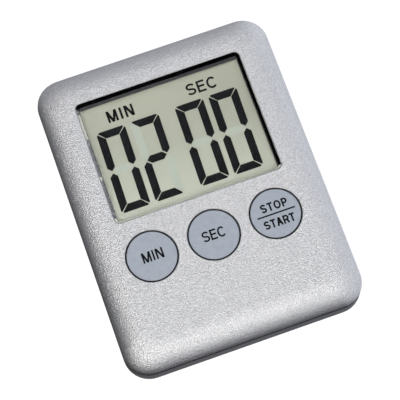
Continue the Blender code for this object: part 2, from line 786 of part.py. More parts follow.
def make_button_cell():
    """The can is wider than the cap that closes its inner end."""
    low, high = CELL_Z
    round_edge = 0.3 * MM
    profile = [
        (0, high),
        (4.3 * MM, high),
        (4.5 * MM, high - 0.25 * MM),
        (CELL_RADIUS - 0.5 * MM, high - 0.35 * MM),
        (CELL_RADIUS, high - 0.8 * MM),
        (CELL_RADIUS, low + round_edge),
        (CELL_RADIUS - round_edge, low),
        (0, low),
    ]
    turned("button_cell", profile, (CELL_X, CELL_Y), "steel", ROUND_FEW)


def make_battery_cap():
    low, disc_top, ring_top = 0.1 * MM, 1.2 * MM, 2.5 * MM
    edge = 0.2 * MM
    profile = [
        (0, disc_top),
        (CAP_RADIUS - 1.0 * MM, disc_top),
        (CAP_RADIUS - 1.0 * MM, ring_top),
        (CAP_RADIUS, ring_top),
        (CAP_RADIUS, low + edge),
        (CAP_RADIUS - edge, low),
        (0, low),
    ]
    cap = turned("battery_cap", profile, (CELL_X, CELL_Y), "grey_plastic", ROUND_FEW)
    for i, side in enumerate((-1, 1)):
        reach = sorted((CELL_X + side * (CAP_RADIUS - 0.5 * MM), CELL_X + side * LUG_RADIUS))
        lug = box(
            f"cap_lug_{i}",
            (reach[0], CELL_Y - LUG_WIDTH / 2, FLOOR + 0.3 * MM),
            (reach[1], CELL_Y + LUG_WIDTH / 2, FLOOR + 1.1 * MM),
        )
        join(cap, lug)
    slot_half, slot_width = 5.2 * MM, 1.7 * MM
    slot = box(
        "coin_slot",
        (CELL_X - slot_half, CELL_Y - slot_width / 2, -PAST),
        (CELL_X + slot_half, CELL_Y + slot_width / 2, low + 0.6 * MM),
    )
    cut(cap, slot)


def strip_outline(path, thickness):
    """The outline of a bent strip of even thickness along a path of (x, y) points."""
    points = [Vector(point) for point in path]
    left, right = [], []
    for i, point in enumerate(points):
        into = (point - points[i - 1]).normalized() if i else None
        out = (points[i + 1] - point).normalized() if i + 1 < len(points) else into
        into = into or out
        normal = Vector((-(into + out).y, (into + out).x)).normalized()
        reach = thickness / 2 / max(normal.dot(Vector((-into.y, into.x))), 0.3)
        left.append(point + normal * reach)
        right.append(point - normal * reach)
    return left + right[::-1]


def make_contacts():
    """Two springy strips from the board's edge to the button cell, cut in the YZ plane."""
    upright = (math.radians(90), 0, math.radians(90))
    edge_y = BOARD_Y[0]
    foot = BOARD_Z[1] + 0.25 * MM
    over_cell = CELL_Z[1] + 0.3 * MM
    path = [
        (edge_y + 0.9 * MM, foot),
        (edge_y - 1.0 * MM, foot),
        (edge_y - 2.0 * MM, over_cell + 0.3 * MM),
        (CELL_Y + 3.5 * MM, over_cell + 0.3 * MM),
        (CELL_Y, over_cell),
    ]
    strip = 0.25 * MM
    negative = strip_outline(path, strip)
    plate("negative_contact", [negative], 3.5 * MM, (CELL_X, 0, 0), upright, "nickel")

    half, band, arm = 1.5 * MM, 0.5 * MM, 6.65 * MM
    side = [
        (CELL_Y - half, 3.2 * MM),
        (CELL_Y + half, 3.2 * MM),
        (CELL_Y + half, arm),
        (edge_y - 0.3 * MM, arm),
        (edge_y - 0.3 * MM, foot - 0.1 * MM),
        (edge_y + 0.9 * MM, foot - 0.1 * MM),
        (edge_y + 0.9 * MM, foot - 0.1 * MM + band),
        (edge_y - 0.3 * MM - band, foot - 0.1 * MM + band),
        (edge_y - 0.3 * MM - band, arm + band),
        (CELL_Y - half, arm + band),
    ]
    x = CELL_X + CELL_RADIUS + 0.4 * MM
    plate("positive_contact", [side], strip, (x, 0, 0), upright, "nickel")


def smooth_route(points, steps):
    """Points on a smooth curve through the given ones, steps to each span."""
    points = [Vector(point) for point in points]
    points = [2 * points[0] - points[1], *points, 2 * points[-1] - points[-2]]
    route = []
    for a, b, c, d in zip(points, points[1:], points[2:], points[3:]):
        for step in range(steps):
            t = step / steps
            route.append(
                0.5 * (2 * b + (c - a) * t + (2 * a - 5 * b + 4 * c - d) * t**2
                       + (3 * b - a - 3 * c + d) * t**3)
            )
    route.append(points[-2])
    return route


def make_wire(name, points, dress):
    curve = bpy.data.curves.new(name, "CURVE")
    curve.dimensions = "3D"
    curve.bevel_depth = WIRE_RADIUS
    curve.bevel_resolution = 2
    curve.use_fill_caps = True
    route = smooth_route(points, 4)
    spline = curve.splines.new("POLY")
    spline.points.add(len(route) - 1)
    for point, place in zip(spline.points, route):
        point.co = (*place, 1)
    return add_object(name, curve, dress=dress)


def make_buzzer():
    place = (BUZZER_X, BUZZER_Y)
    cylinder("buzzer_plate", BUZZER_RADIUS, *BUZZER_PLATE_Z, place, "brass", ROUND_FEW)
    cylinder("buzzer_ceramic", BUZZER_CERAMIC_RADIUS, *BUZZER_CERAMIC_Z, place, "ceramic", ROUND_FEW)
    edge_y = BOARD_Y[0]
    lift = WIRE_RADIUS + 0.2 * MM
    pad = BOARD_Z[1] + lift
    red = [
        (BUZZER_X - 2 * MM, BUZZER_Y - 1 * MM, BUZZER_CERAMIC_Z[1] + lift),
        (BUZZER_X - 2 * MM, BUZZER_Y + 2 * MM, 4.6 * MM),
        (BUZZER_X - 3 * MM, edge_y - 3 * MM, 7.0 * MM),
        (BUZZER_X - 3.5 * MM, edge_y - 0.9 * MM, pad + 0.2 * MM),
        (BUZZER_X - 3.5 * MM, edge_y + 0.9 * MM, pad),
    ]
    black = [
        (BUZZER_X + 7.8 * MM, BUZZER_Y + 1 * MM, BUZZER_PLATE_Z[1] + lift),
        (BUZZER_X + 7.0 * MM, BUZZER_Y + 3 * MM, 4.9 * MM),
        (BUZZER_X + 3.0 * MM, edge_y - 2.6 * MM, 7.2 * MM),
        (BUZZER_X + 1.5 * MM, edge_y - 0.9 * MM, pad + 0.2 * MM),
        (BUZZER_X + 1.5 * MM, edge_y + 0.9 * MM, pad),
    ]
    make_wire("buzzer_wire_red", red, "red_wire")
    make_wire("buzzer_wire_black", black, "black_wire")


def make_screw(name, place, head, shank, head_z, tip_z):
    """A self-tapping pan-head screw, head down, with a cross recess."""
    low, high = head_z
    profile = [
        (0, tip_z),
        (shank * 0.3, tip_z),
        (shank, tip_z - 1.0 * MM),
        (shank, high),
        (head, high),
        (head, low + 0.4 * MM),
        (head * 0.75, low),
        (0, low),
    ]
    screw = turned(name, profile, place, "steel", SMALL_STEPS)
    x, y = place
    long, short, deep = head * 0.62, head * 0.14, 0.45 * MM
    across = box(name + "_slot_x", (x - long, y - short, low - PAST), (x + long, y + short, low + deep))
    along = box(name + "_slot_y", (x - short, y - long, low - PAST), (x + short, y + long, low + deep))
    cut(screw, across, along)


def make_screws():
    for i, place in enumerate(four(CASE_SCREW_X, CASE_SCREW_Y)):
        make_screw(f"case_screw_{i + 1}", place, 1.8 * MM, 0.85 * MM, (0.6 * MM, 1.6 * MM), 9.0 * MM)
    head_z = (BOARD_Z[0] - 1.1 * MM, BOARD_Z[0] - 0.3 * MM)
    for i, place in enumerate(four(BOARD_SCREW_X, BOARD_SCREW_Y)):
        make_screw(f"board_screw_{i + 1}", place, 1.5 * MM, 0.7 * MM, head_z, 9.5 * MM)


def make_kickstand():
    """A flap with a sunk panel, a rounded hinge edge and a pin at each end."""
    half = STAND_WIDTH / 2
    foot_half = half - 1.0 * MM
    corner = 3.0 * MM
    end = -STAND_LENGTH
    outline = [(half, 0), (-half, 0)]
    for side in (-1, 1):
        for step in range(7):
            angle = math.radians(90) * step / 6
            sweep = angle if side < 0 else math.radians(90) - angle
            x = side * (foot_half - corner + corner * math.cos(sweep))
            y = end + corner - corner * math.sin(sweep)
            outline.append((x, y))
    hinge = Vector((0, STAND_HINGE_Y, STAND_HINGE_Z))
    to_side = Vector((half, 0, 0))
    to_pin_end = Vector((STAND_PIN_REACH, 0, 0))
    flap = plate("kickstand", [outline], STAND_THICKNESS, hinge, dress="grey_plastic")
    barrel = rod("stand_barrel", STAND_THICKNESS / 2, hinge - to_side, hinge + to_side)
    pins = rod("stand_pins", STAND_PIN_RADIUS, hinge - to_pin_end, hinge + to_pin_end, steps=12)
    join(flap, barrel, pins)
    panel_width, panel_height, panel_corner, panel_depth = 15.0 * MM, 19.0 * MM, 2.0 * MM, 0.5 * MM
    panel_at = (0, STAND_HINGE_Y + end * 0.42)
    panel = rounded_rectangle(panel_width, panel_height, panel_corner, panel_at)
    outer_face = STAND_HINGE_Z - STAND_THICKNESS / 2
    sunk = [ring_at(outer_face - PAST, panel), ring_at(outer_face + panel_depth, panel)]
    cut(flap, loft("stand_panel", sunk))


def make_magnets():
    low, high = MAGNET_Z
    edge = 0.2 * MM
    profile = [
        (0, high),
        (MAGNET_RADIUS, high),
        (MAGNET_RADIUS, low + edge),
        (MAGNET_RADIUS - edge, low),
        (0, low),
    ]
    for name, side in (("magnet_left", -1), ("magnet_right", 1)):
        turned(name, profile, (side * MAGNET_X, MAGNET_Y), "nickel", ROUND_FEW)


clear_scene()
parts = new_collection("kitchen_timer")
cutters = new_collection("cutters")
make_front_shell()
make_rear_shell()
make_window_lens()
make_keys()
make_keypad()
make_display()
make_display_holder()
make_circuit_board()
make_board_parts()
make_button_cell()
make_battery_cap()
make_contacts()
make_buzzer()
make_screws()
make_kickstand()
make_magnets()
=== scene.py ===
"""The looks of a slim electronic kitchen timer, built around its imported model."""

import math

import bmesh
import bpy
from mathutils import Matrix, Vector


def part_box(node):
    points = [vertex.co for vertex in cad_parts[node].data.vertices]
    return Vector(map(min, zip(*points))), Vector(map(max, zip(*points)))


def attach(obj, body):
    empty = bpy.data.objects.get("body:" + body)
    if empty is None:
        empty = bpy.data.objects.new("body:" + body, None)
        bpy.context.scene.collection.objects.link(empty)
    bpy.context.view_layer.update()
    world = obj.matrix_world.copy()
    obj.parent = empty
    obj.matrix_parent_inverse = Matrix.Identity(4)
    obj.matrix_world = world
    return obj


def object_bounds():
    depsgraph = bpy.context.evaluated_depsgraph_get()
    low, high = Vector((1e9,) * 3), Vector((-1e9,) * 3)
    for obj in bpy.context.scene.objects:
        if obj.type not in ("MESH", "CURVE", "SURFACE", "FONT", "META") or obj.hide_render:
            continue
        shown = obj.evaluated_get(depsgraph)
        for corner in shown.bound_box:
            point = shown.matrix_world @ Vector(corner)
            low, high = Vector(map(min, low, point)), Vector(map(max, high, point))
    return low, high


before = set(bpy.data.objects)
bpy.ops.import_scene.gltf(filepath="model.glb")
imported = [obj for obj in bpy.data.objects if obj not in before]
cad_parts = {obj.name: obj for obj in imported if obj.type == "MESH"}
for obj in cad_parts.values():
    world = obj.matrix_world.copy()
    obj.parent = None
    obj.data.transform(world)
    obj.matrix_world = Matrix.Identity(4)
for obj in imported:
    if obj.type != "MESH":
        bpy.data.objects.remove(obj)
cad_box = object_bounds()

MM = 0.001

# ---------------------------------------------------------------- places from the frame

KEYS = ("min", "sec", "start_stop")
CASE_LOW, CASE_HIGH = cad_box
DISPLAY_LOW, DISPLAY_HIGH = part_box("front_polariser")

# ---------------------------------------------------------------- camera

FOCAL_LENGTH = 153.0  # on the default 36 mm sensor
CAMERA_PLACE = Vector((-33.5, -130.5, 437.2)) * MM
CAMERA_AIM = Vector((-0.3, -3.85, 12.7)) * MM
CAMERA_ROLL = math.radians(-20.3)

# ---------------------------------------------------------------- light

# Each span is (value at its first place, value at its last, first place, last place) along
# one component of the direction that the light comes from: x to the right, y to the back and
# z up.
BOX_FRONT = (0.0, 1.0, -1.0, -0.73)
BOX_BACK = (1.0, 0.0, 0.2, 0.45)
BOX_LEFT = (0.0, 1.0, -0.7, -0.55)
BOX_RIGHT = (1.0, 0.0, -0.12, 0.25)
BOX_POWER = 2.4
RIGHT_SIDE = (0.0, 0.8, 0.25, 0.55)
BACK_SIDE = (0.0, 0.3, 0.45, 0.6)
AROUND = 0.15
LEFT_SHADE = (0.75, 1.0, -0.45, -0.15)
FLOOR_SHADE = (0.0, 1.0, -0.75, -0.5)
BELOW = (3.0, 0.0, -1.0, -0.8)  # lights the underside, out of sight of the sides
BELOW_RIGHT = (0.0, 1.0, 0.0, 0.25)
BELOW_BACK = (0.0, 1.0, -0.05, 0.25)
DARK_PATCH = (0.08, 0.33, 0.94)  # the window mirrors this part of the studio to the camera
DARK_PATCH_EDGE = (0.985, 0.995)  # cosines of the angles where the patch starts and is full
DARK_PATCH_LIGHT = 0.02  # what is left of the light inside the patch
BOX_TINT = (1.0, 1.0, 0.99)
AROUND_TINT = (0.93, 0.96, 1.07)

# ---------------------------------------------------------------- surface patterns

PAINT_GRAIN_SCALE = 3900
PAINT_GRAIN_DEPTH = 0.21 * MM
PAINT_COARSE_DEPTH = 0.06 * MM
PAINT_EDGE_BLEND = 0.02 * MM
# the key paint ends this far below the case face; below it the sides are painted black as shade in the gap
# around the key
KEY_SIDE_SHADE_DEPTH = 0.3 * MM
GROOVE_Z = (5.72 * MM, 6.97 * MM)  # heights of the joint between the two shells, painted black there as shade in the gap
SHARP_EDGE = math.radians(32)
# painted shade on the key sides, in the gap around each key
KEY_SIDE_PAINTED_SHADE = (0.006, 0.006, 0.006)
# painted shade, black inside the joint between the shells
GROOVE_PAINTED_SHADE = (0.003, 0.003, 0.003)

# ---------------------------------------------------------------- display layout

DIGIT_HEIGHT = 23.4 * MM
DIGIT_WIDTH = 8.05 * MM
DIGIT_PITCH = 9.48 * MM
PAIR_PITCH = 22.08 * MM
FIRST_DIGIT_X = -16.33 * MM
DIGIT_MIDDLE_Y = 11.95 * MM
SEGMENT_WIDTH = 2.15 * MM
SEGMENT_GAP = 0.14 * MM
DIGIT_SLANT = math.tan(math.radians(1.4))
INK_THICKNESS = 0.02 * MM
DIGITS = ("minutes_tens", "minutes", "seconds_tens", "seconds")
SHOWN = ("0", "2", "0", "0")
SEGMENTS_LIT = {"0": "abcdef", "2": "abged"}

# ---------------------------------------------------------------- lettering

LETTER_WIDTHS = {  # in cap heights
    "M": 0.82, "N": 0.70, "S": 0.68, "E": 0.60, "C": 0.76,
    "T": 0.62, "O": 0.80, "P": 0.64, "A": 0.72, "R": 0.68,
}
LABEL_Y = 27.0 * MM
LABEL_HEIGHT = 3.35 * MM
LEGEND_STROKE = 0.46 * MM
LEGEND_BAR_OFFSET = 0.15 * MM
LEGEND_BAR_HALF = (5.2 * MM, 0.2 * MM)


# ---------------------------------------------------------------- materials

class Finish:
    """A Principled material with short calls for the pattern nodes that feed it."""

    def __init__(self, name, colour=(0.5, 0.5, 0.5), roughness=0.5, metallic=0.0):
        self.material = bpy.data.materials.new(name)
        self.material.use_nodes = True
        self.tree = self.material.node_tree
        self.shader = self.tree.nodes["Principled BSDF"]
        self.set("Base Color", (*colour, 1.0))
        self.set("Roughness", roughness)
        self.set("Metallic", metallic)
        self.coords = self.tree.nodes.new("ShaderNodeTexCoord").outputs["Object"]

    def set(self, socket, value):
        """Gives a shader socket a fixed value."""
        self.shader.inputs[socket].default_value = value

    def feed(self, socket, output):
        """Links a pattern's output to a shader socket."""
        self.tree.links.new(output, self.shader.inputs[socket])

    def stretched(self, scale):
        """The object's coordinates scaled by a different amount along each axis."""
        node = self.tree.nodes.new("ShaderNodeMapping")
        node.inputs["Scale"].default_value = scale
        self.tree.links.new(self.coords, node.inputs["Vector"])
        return node.outputs["Vector"]

    def noise(self, scale, detail=2.0, roughness=0.5, coords=None):
        """Smooth random grey, finer as the scale goes up."""
        node = self.tree.nodes.new("ShaderNodeTexNoise")
        node.inputs["Scale"].default_value = scale
        node.inputs["Detail"].default_value = detail
        node.inputs["Roughness"].default_value = roughness
        self.tree.links.new(coords or self.coords, node.inputs["Vector"])
        return node.outputs["Fac"]

    def along(self, axis, start, end):
        """Runs from 0 to 1 between two places along an axis."""
        split = self.tree.nodes.new("ShaderNodeSeparateXYZ")
        node = self.tree.nodes.new("ShaderNodeMapRange")
        node.inputs["From Min"].default_value = start
        node.inputs["From Max"].default_value = end
        self.tree.links.new(self.coords, split.inputs[0])
        self.tree.links.new(split.outputs[axis], node.inputs["Value"])
        return node.outputs["Result"]

    def paint_groove_shade(self, tone):
        """Paints shade into a colour: black inside the joint between the shells, in place of the shadow in
        the gap.
        """
        low, high = GROOVE_Z
        inside = self.along("Z", low - PAINT_EDGE_BLEND, low)
        above = self.along("Z", high, high + PAINT_EDGE_BLEND)
        return self.mix(inside, tone, self.mix(above, GROOVE_PAINTED_SHADE, tone))

    def cells(self, scale):
        """A different colour for each of many small cells."""
        node = self.tree.nodes.new("ShaderNodeTexVoronoi")
        node.inputs["Scale"].default_value = scale
        self.tree.links.new(self.coords, node.inputs["Vector"])
        return node.outputs["Color"]

    def ramp(self, fac, *stops):
        """A colour ramp from (place, value) stops, where a value is a grey or a colour."""
        node = self.tree.nodes.new("ShaderNodeValToRGB")
        elements = node.color_ramp.elements
        while len(elements) < len(stops):
            elements.new(0.5)
        for element, (place, value) in zip(elements, stops):
            colour = value if isinstance(value, tuple) else (value, value, value)
            element.position = place
            element.color = (*colour, 1.0)
        self.tree.links.new(fac, node.inputs["Fac"])
        return node.outputs["Color"]

    def mix(self, fac, first, second, blend="MIX"):
        """Blends two colours, each an output or an (r, g, b)."""
        node = self.tree.nodes.new("ShaderNodeMix")
        node.data_type = "RGBA"
        node.blend_type = blend
        for index, value in ((0, fac), (6, first), (7, second)):
            socket = node.inputs[index]
            if isinstance(value, bpy.types.NodeSocket):
                self.tree.links.new(value, socket)
            else:
                socket.default_value = (*value, 1.0) if isinstance(value, tuple) else value
        return node.outputs[2]

    def bump(self, height, strength, distance, under=None):
        """A normal roughened by a height pattern, on top of another normal if one is given."""
        node = self.tree.nodes.new("ShaderNodeBump")
        node.inputs["Strength"].default_value = strength
        node.inputs["Distance"].default_value = distance
        self.tree.links.new(height, node.inputs["Height"])
        if under:
            self.tree.links.new(under, node.inputs["Normal"])
        return node.outputs["Normal"]


def silver_paint():
    """Satin silver paint with a sandy grain in its surface and its flakes."""
    f = Finish("silver_paint", metallic=0.9)
    grain = f.noise(PAINT_GRAIN_SCALE, 1.5, 0.6)
    flakes = f.ramp(f.cells(4200), (0.0, 0.25), (1.0, 0.75))
    cloud = f.noise(90, 2.0)
    dark, middle, light = (0.46, 0.456, 0.452), (0.612, 0.606, 0.60), (0.765, 0.757, 0.75)
    tone = f.ramp(grain, (0.32, dark), (0.50, middle), (0.68, light))
    tone = f.mix(0.2, tone, flakes, "OVERLAY")
    tone = f.mix(f.ramp(cloud, (0.3, 0.0), (0.7, 0.08)), tone, (0.62, 0.62, 0.65))
    # painted shade: the lip in the joint with the rear shell is coloured black
    f.feed("Base Color", f.paint_groove_shade(tone))
    f.feed("Roughness", f.ramp(grain, (0.3, 0.36), (0.7, 0.28)))
    coarse = f.bump(f.noise(PAINT_GRAIN_SCALE * 0.6, 1.0), 1.0, PAINT_COARSE_DEPTH)
    f.feed("Normal", f.bump(grain, 1.0, PAINT_GRAIN_DEPTH, coarse))
    return f.material


def moulded_plastic(name, colour, grain_scale=2200, roughness=0.55, groove_shade=False):
    """Plain moulded plastic with a fine spark-eroded texture."""
    f = Finish(name, colour)
    grain = f.noise(grain_scale, 2.0, 0.6)
    light = tuple(min(1.0, c * 1.18 + 0.004) for c in colour)
    dark = tuple(c * 0.84 for c in colour)
    tone = f.ramp(grain, (0.3, dark), (0.7, light))
    # where asked, the ledge in the joint gets painted shade, black in place of the gap's shadow
    f.feed("Base Color", f.paint_groove_shade(tone) if groove_shade else tone)
    f.feed("Roughness", f.ramp(f.noise(160, 3.0), (0.3, roughness - 0.07), (0.7, roughness + 0.07)))
    f.feed("Normal", f.bump(grain, 0.25, 0.02 * MM))
    return f.material


def key_plastic():
    """Matt blue-grey paint with a faint mottle, on keys whose sides are painted black as shade in the gap
    around them.
    """
    f = Finish("key_plastic")
    mottle = f.noise(700, 3.0, 0.6)
    paint = f.ramp(mottle, (0.3, (0.312, 0.342, 0.384)), (0.7, (0.355, 0.387, 0.43)))
    # painted shade: black on the key sides below the case face
    painted_shade_top = CASE_HIGH.z - KEY_SIDE_SHADE_DEPTH
    above_painted_shade = f.along("Z", painted_shade_top - PAINT_EDGE_BLEND, painted_shade_top)
    f.feed("Base Color", f.mix(above_painted_shade, KEY_SIDE_PAINTED_SHADE, paint))
    f.feed("Roughness", f.ramp(f.noise(220, 2.0), (0.3, 0.42), (0.7, 0.52)))
    f.feed("Normal", f.bump(f.noise(2600, 2.0), 0.12, 0.01 * MM))
    return f.material


def clear_window():
    """Polished clear acrylic."""
    f = Finish("clear_window", (0.96, 0.98, 0.97), 0.02)
    f.set("Transmission Weight", 1.0)
    f.set("IOR", 1.49)
    return f.material


def display_film():
    """The grey-green of a reflective liquid-crystal display, with painted light near its bottom edge and
    painted shade towards its top and its right side.
    """
    f = Finish("display_film", roughness=0.45)
    f.set("Specular IOR Level", 0.1)
    # painted light and shade: brighter near the bottom edge, darker towards the top and towards the right
    painted_light_fade = f.along("Y", DISPLAY_LOW.y, DISPLAY_HIGH.y)
    side = f.along("X", DISPLAY_LOW.x, DISPLAY_HIGH.x)
    tone = f.ramp(
        painted_light_fade,
        (0.0, (0.75, 0.745, 0.63)),
        (0.10, (0.63, 0.63, 0.53)),
        (0.5, (0.5, 0.497, 0.408)),
        (0.95, (0.51, 0.497, 0.408)),
    )
    tone = f.mix(1.0, tone, f.ramp(side, (0.05, 1.0), (0.95, 0.90)), "MULTIPLY")
    grain = f.noise(2600, 2.0)
    tone = f.mix(f.ramp(grain, (0.3, 0.0), (0.7, 0.10)), tone, (0.40, 0.43, 0.36))
    f.feed("Base Color", tone)
    return f.material


def ink(name, colour, roughness=0.5, unevenness=0.3):
    """Printed or electronic ink, a little uneven."""
    f = Finish(name, colour)
    f.set("Specular IOR Level", 0.1)
    mottle = f.noise(900, 2.0)
    light = tuple(c * (1.0 + unevenness) for c in colour)
    f.feed("Base Color", f.ramp(mottle, (0.3, colour), (0.7, light)))
    f.feed("Roughness", f.ramp(mottle, (0.3, roughness - 0.05), (0.7, roughness + 0.05)))
    return f.material


def brushed_metal(name, colour, roughness=0.3, along=(60, 3000, 3000)):
    """Metal with fine lines drawn along one axis."""
    f = Finish(name, colour, roughness, 1.0)
    lines = f.noise(1.0, 3.0, 0.6, f.stretched(along))
    dark = tuple(c * 0.88 for c in colour)
    f.feed("Base Color", f.ramp(lines, (0.3, dark), (0.7, colour)))
    f.feed("Roughness", f.ramp(lines, (0.3, roughness - 0.04), (0.7, roughness + 0.1)))
    f.feed("Normal", f.bump(lines, 0.08, 0.003 * MM))
    return f.material


def clear_glass(name):
    """Thin, faintly green glass."""
    f = Finish(name, (0.85, 0.9, 0.88), 0.03)
    f.set("Transmission Weight", 0.9)
    f.set("IOR", 1.5)
    return f.material


def dress(material, *nodes):
    """Gives CAD nodes this material and shades them smooth up to their sharp edges."""
    for name in nodes:
        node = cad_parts[name]
        node.data.materials.clear()
        node.data.materials.append(material)
        soften(node)


def soften(node):
    """Joins the faceted mesh, parts it again at sharp edges and shades the rest smooth."""
    weld = node.modifiers.new("weld", "WELD")
    weld.merge_threshold = 0.002 * MM
    split = node.modifiers.new("sharp_edges", "EDGE_SPLIT")
    split.split_angle = SHARP_EDGE
    node.data.shade_smooth()
    node.modifiers.new("even_normals", "WEIGHTED_NORMAL")


# ---------------------------------------------------------------- pieces

def add_piece(name, mesh, material, body):
    """Adds a visible piece that moves with a body."""
    piece = bpy.data.objects.new(name, mesh)
    bpy.context.scene.collection.objects.link(piece)
    piece.data.materials.append(material)
    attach(piece, body)
    return piece


def prism(work, outline, low, high):
    """Adds the closed slab between two heights over an outline of (x, y) points."""
    bottom = [work.verts.new((x, y, low)) for x, y in outline]
    top = [work.verts.new((x, y, high)) for x, y in outline]
    work.faces.new(bottom[::-1])
    work.faces.new(top)
    for i in range(len(outline)):
        j = (i + 1) % len(outline)
        work.faces.new((bottom[i], bottom[j], top[j], top[i]))


def mesh_from(work, name):
    """Turns a finished bmesh into a mesh."""
    bmesh.ops.recalc_face_normals(work, faces=work.faces)
    mesh = bpy.data.meshes.new(name)
    work.to_mesh(mesh)
    work.free()
    return mesh


def flip_x(points):
    return [(-x, y) for x, y in reversed(points)]


def flip_y(points):
    return [(x, -y) for x, y in reversed(points)]


def segment_outlines():
    """Outlines of segments a to g, about the digit's middle, before its slant.

    The bars meet at mitred corners. The two uprights of a side meet, with the middle
    bar, at points halfway up.
    """
    w, h, t, g = DIGIT_WIDTH / 2, DIGIT_HEIGHT / 2, SEGMENT_WIDTH, SEGMENT_GAP
    chip = 0.55 * MM
    diagonal = g * math.sqrt(2)
    top = [
        (-w + chip + diagonal, h),
        (w - chip - diagonal, h),
        (w - chip / 2 - diagonal, h - chip / 2),
        (w - t - diagonal * 0.4, h - t),
        (-w + t + diagonal * 0.4, h - t),
        (-w + chip / 2 + diagonal, h - chip / 2),
    ]
    upper_right = [
        (w - chip / 2, h - chip / 2 - diagonal),
        (w, h - chip - diagonal),
        (w, t / 2 + g * 2),
        (w - t / 2, g * 2.4),
        (w - t, t / 2 + g * 2),
        (w - t, h - t - diagonal * 0.6),
    ]
    middle_end = w - t / 2 - diagonal
    middle = [
        (-middle_end, 0),
        (-middle_end + t / 2, t / 2),
        (middle_end - t / 2, t / 2),
        (middle_end, 0),
        (middle_end - t / 2, -t / 2),
        (-middle_end + t / 2, -t / 2),
    ]
    return {
        "a": top,
        "b": upper_right,
        "c": flip_y(upper_right),
        "d": flip_y(top),
        "e": flip_x(flip_y(upper_right)),
        "f": flip_x(upper_right),
        "g": middle,
    }


def add_digits(ink_lit, ink_ghost):
    """Four digits of lit segments, with their unlit segments faintly showing."""
    outlines = segment_outlines()
    low = DISPLAY_HIGH.z + INK_THICKNESS / 2
    for i, (name, shown) in enumerate(zip(DIGITS, SHOWN)):
        middle_x = FIRST_DIGIT_X + (i // 2) * PAIR_PITCH + (i % 2) * DIGIT_PITCH
        for lit, material in ((True, ink_lit), (False, ink_ghost)):
            work = bmesh.new()
            for key, outline in outlines.items():
                if (key in SEGMENTS_LIT[shown]) != lit:
                    continue
                placed = [(middle_x + x + y * DIGIT_SLANT, DIGIT_MIDDLE_Y + y) for x, y in outline]
                prism(work, placed, low, low + INK_THICKNESS)
            kind = "digit" if lit else "ghost"
            add_piece(f"{kind}_{name}", mesh_from(work, name), material, "case")


def add_text(name, text, middle, cap_height, width, stroke, material, body, broad=1.0):
    """Raised flat capitals of an even stroke, lying at middle.z.

    The letters are broadened by a factor and spread to an overall width.
    """
    widths = [stroke if letter == "I" else LETTER_WIDTHS[letter] * cap_height * broad for letter in text]
    gap = (width - sum(widths)) / (len(text) - 1)
    x = middle.x - width / 2
    y = middle.y - cap_height / 2
    work = bmesh.new()
    for letter, wide in zip(text, widths):
        for outline in letter_strokes(letter, wide, cap_height, stroke):
            prism(work, [(x + u, y + v) for u, v in outline], middle.z, middle.z + INK_THICKNESS)
        x += wide + gap
    return add_piece(name, mesh_from(work, name), material, body)


def bar(left, low, right, high):
    """The outline of an upright rectangle."""
    return [(left, low), (right, low), (right, high), (left, high)]


def slant(x_low, x_high, low, high, across):
    """A sloping stroke with level ends, whose left edge runs from x_low to x_high."""
    return [(x_low, low), (x_low + across, low), (x_high + across, high), (x_high, high)]


def ribbon(path, stroke):
    """A strip of even width along a path."""
    points = [Vector(point) for point in path]
    left, right = [], []
    for i, point in enumerate(points):
        before = points[max(i - 1, 0)]
        after = points[min(i + 1, len(points) - 1)]
        along = (after - before).normalized()
        side = Vector((-along.y, along.x)) * stroke / 2
        left.append(tuple(point + side))
        right.append(tuple(point - side))
    return left + right[::-1]


def bend(middle, radii, start, end, steps=14):
    """Points of an elliptical arc between two angles in degrees."""
    points = []
    for i in range(steps + 1):
        angle = math.radians(start + (end - start) * i / steps)
        points.append((middle[0] + radii[0] * math.cos(angle), middle[1] + radii[1] * math.sin(angle)))
    return points


def letter_strokes(letter, w, h, t):
    """The outlines that make up a capital of width w, height h and stroke t."""
    thin = t * 1.12  # a sloping stroke measured level
    stem = bar(0, 0, t, h)
    if letter == "I":
        return [stem]
    if letter == "M":
        left = slant(w / 2 - thin / 2, 0, 0, h, thin)
        right = slant(w / 2 - thin / 2, w - thin, 0, h, thin)
        return [stem, bar(w - t, 0, w, h), left, right]
    if letter == "N":
        thin = t * 1.25
        return [stem, bar(w - t, 0, w, h), slant(w - thin, 0, 0, h, thin)]
    if letter == "E":
        arms = [bar(t, y, reach, y + t) for y, reach in ((0, w), (h * 0.53 - t / 2, w * 0.93), (h - t, w))]
        return [stem, *arms]
    if letter == "T":
        return [bar(0, h - t, w, h), bar(w / 2 - t / 2, 0, w / 2 + t / 2, h - t)]
    if letter == "A":
        left = slant(0, w / 2 - thin / 2, 0, h, thin)
        right = slant(w - thin, w / 2 - thin / 2, 0, h, thin)
        return [left, right, bar(w * 0.2, h * 0.27, w * 0.8, h * 0.27 + t)]
    if letter in "PR":
        lower = h * 0.44
        radius = (h - t / 2 - lower) / 2
        path = [(t / 2, h - t / 2)]
        path += bend((w - t / 2 - radius, h - t / 2 - radius), (radius, radius), 90, -90)
        path += [(t / 2, lower)]
        strokes = [stem, ribbon(path, t)]
        if letter == "R":
            strokes.append(slant(w - thin, w * 0.48, 0, lower, thin))
        return strokes
    if letter == "O":
        return [ribbon(bend((w / 2, h / 2), (w / 2 - t / 2, h / 2 - t / 2), 0, 360, 30), t)]
    if letter == "C":
        return [ribbon(bend((w / 2, h / 2), (w / 2 - t / 2, h / 2 - t / 2), 42, 318, 26), t)]
    # What is left is an S: two bowls, one on the other.
    bowl = (w / 2 - t / 2, h / 4 - t / 4)
    upper = bend((w / 2, h * 0.75 - t / 4), bowl, 22, 270)
    lower = bend((w / 2, h * 0.25 + t / 4), bowl, 90, -158)
    return [ribbon(upper + lower[1:], t)]


